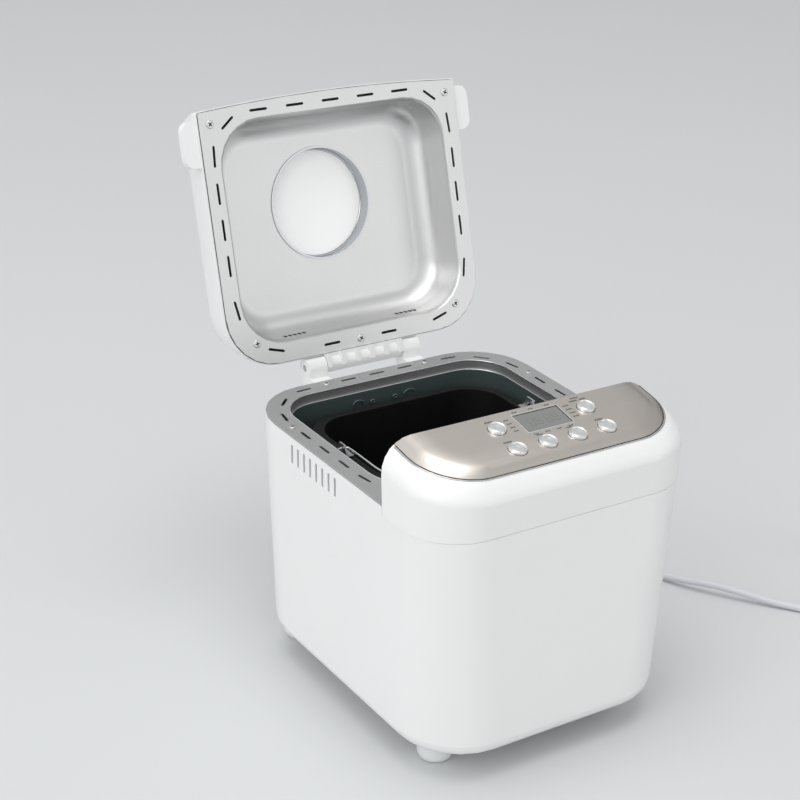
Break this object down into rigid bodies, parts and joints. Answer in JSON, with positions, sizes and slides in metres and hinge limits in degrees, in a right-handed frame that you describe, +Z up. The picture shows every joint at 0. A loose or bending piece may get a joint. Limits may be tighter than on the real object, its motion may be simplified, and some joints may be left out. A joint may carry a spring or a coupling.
{
  "type": "bread machine",
  "caption": "White bread machine with open hinged lid, sloping steel control panel, oven cavity, removable bread pan with bail handle, kneading paddle and mains lead.",
  "frame": {"origin": "under the middle of the box that the open machine fills without its lead, at the height of the surface it stands on", "axes": "+X to the machine's right as seen from its front, +Y towards its hinges, +Z up"},
  "size_m": [0.5974, 0.4244, 0.4506],
  "materials": {
    "housing": "white moulded plastic, semi-gloss",
    "feet": "white moulded plastic, matt",
    "base": "white moulded plastic, matt",
    "rim": "pressed sheet, fine satin",
    "liner": "dark grey-green heat-resistant coating",
    "panel": "fine brushed, warm tint",
    "buttons": "clear-topped metallised plastic, spun centre",
    "display": "grey liquid-crystal window",
    "module": "black moulded plastic",
    "board": "glass-epoxy circuit board",
    "screws": "zinc-plated steel",
    "steel": "bright drawn steel",
    "element": "heat-darkened sheathed element",
    "ceramic": null,
    "bearing": "sintered bronze",
    "chassis": "galvanised sheet",
    "pulley": "black glass-filled plastic",
    "belt": "black ribbed rubber",
    "pan": "black non-stick coating",
    "lid": "white moulded plastic, semi-gloss",
    "lid_liner": "satin pressed aluminium",
    "glass": "clear round window",
    "cord": "soft pale PVC",
    "tie": "black hook-and-loop tie"
  },
  "bodies": {
    "housing": {"lower_housing": "housing", "base_cover": "base", "foot_front_left": "feet", "foot_front_right": "feet", "foot_rear_left": "feet", "foot_rear_right": "feet", "console_housing": "housing", "control_panel": "panel", "display_window": "display", "display_module": "module", "control_board": "board", "power_board": "board", "rim_plate": "rim", "rim_screw_1": "screws", "rim_screw_2": "screws", "rim_screw_3": "screws", "rim_screw_4": "screws", "oven_liner": "liner", "heating_element": "element", "element_bushing_left": "ceramic", "element_bushing_right": "ceramic", "temperature_sensor": "element", "pan_seat": "steel", "drive_bearing": "bearing", "chassis": "chassis", "motor": "chassis", "drive_belt": "belt", "hinge_pin_left": "steel", "hinge_pin_right": "steel", "strain_relief": "cord", "power_cord": "cord", "cord_coil": "cord", "cord_tie": "tie", "cord_tail": "cord", "plug": "cord"},
    "lid": {"lid_shell": "lid", "lid_liner": "lid_liner", "window_collar": "lid_liner", "window_glass": "glass", "lid_screw_1": "screws", "lid_screw_2": "screws", "lid_screw_3": "screws", "lid_screw_4": "screws", "lid_screw_5": "screws"},
    "pan": {"bread_pan": "pan", "pan_bush": "bearing", "handle_bracket_left": "steel", "handle_bracket_right": "steel"},
    "bail": {"bail_handle": "steel"},
    "pan_shaft": {"pan_shaft": "steel"},
    "paddle": {"kneading_paddle": "pan"},
    "drive": {"drive_shaft": "steel", "drive_pulley": "pulley"},
    "motor_rotor": {"motor_pulley": "steel"},
    "menu": {"menu_button": "buttons"},
    "weight": {"weight_button": "buttons"},
    "colour": {"colour_button": "buttons"},
    "timer_down": {"timer_down_button": "buttons"},
    "timer_up": {"timer_up_button": "buttons"},
    "start": {"start_button": "buttons"}
  },
  "joints": [
    {"name": "lid_hinge", "type": "hinge", "parent": "housing", "child": "lid", "pos_m": [0, 0.10225, 0.2277], "axis": [-1, 0, 0], "range_deg": [-107.5, 0]},
    {"name": "pan_lift", "type": "slide", "parent": "housing", "child": "pan", "axis": [0, 0, 1], "range_m": [0, 0.16]},
    {"name": "bail_swing", "type": "hinge", "parent": "pan", "child": "bail", "pos_m": [0, -0.02055, 0.213], "axis": [-1, 0, 0], "range_deg": [0, 180]},
    {"name": "drive_spin", "type": "hinge", "parent": "housing", "child": "drive", "pos_m": [0, -0.02055, 0.028], "axis": [0, 0, 1], "continuous": true},
    {"name": "motor_spin", "type": "hinge", "parent": "housing", "child": "motor_rotor", "pos_m": [0, -0.15855, 0.028], "axis": [0, 0, 1], "continuous": true},
    {"name": "pan_shaft_spin", "type": "hinge", "parent": "pan", "child": "pan_shaft", "pos_m": [0, -0.02055, 0.08], "axis": [0, 0, 1], "continuous": true},
    {"name": "paddle_lift", "type": "slide", "parent": "pan_shaft", "child": "paddle", "axis": [0, 0, 1], "range_m": [0, 0.03]},
    {"name": "menu_press", "type": "slide", "parent": "housing", "child": "menu", "axis": [0, -0.1867, 0.9824], "range_m": [-0.0012, 0], "stiffness_N_per_m": 400},
    {"name": "weight_press", "type": "slide", "parent": "housing", "child": "weight", "axis": [0, -0.1867, 0.9824], "range_m": [-0.0012, 0], "stiffness_N_per_m": 400},
    {"name": "colour_press", "type": "slide", "parent": "housing", "child": "colour", "axis": [0, -0.1867, 0.9824], "range_m": [-0.0012, 0], "stiffness_N_per_m": 400},
    {"name": "timer_down_press", "type": "slide", "parent": "housing", "child": "timer_down", "axis": [0, -0.1867, 0.9824], "range_m": [-0.0012, 0], "stiffness_N_per_m": 400},
    {"name": "timer_up_press", "type": "slide", "parent": "housing", "child": "timer_up", "axis": [0, -0.1867, 0.9824], "range_m": [-0.0012, 0], "stiffness_N_per_m": 400},
    {"name": "start_press", "type": "slide", "parent": "housing", "child": "start", "axis": [0, -0.1867, 0.9824], "range_m": [-0.0012, 0], "stiffness_N_per_m": 400}
  ],
  "couplings": [
    {"joint": "motor_spin", "follows": "drive_spin", "ratio": 4.91},
    {"joint": "pan_shaft_spin", "follows": "drive_spin", "ratio": 1}
  ]
}
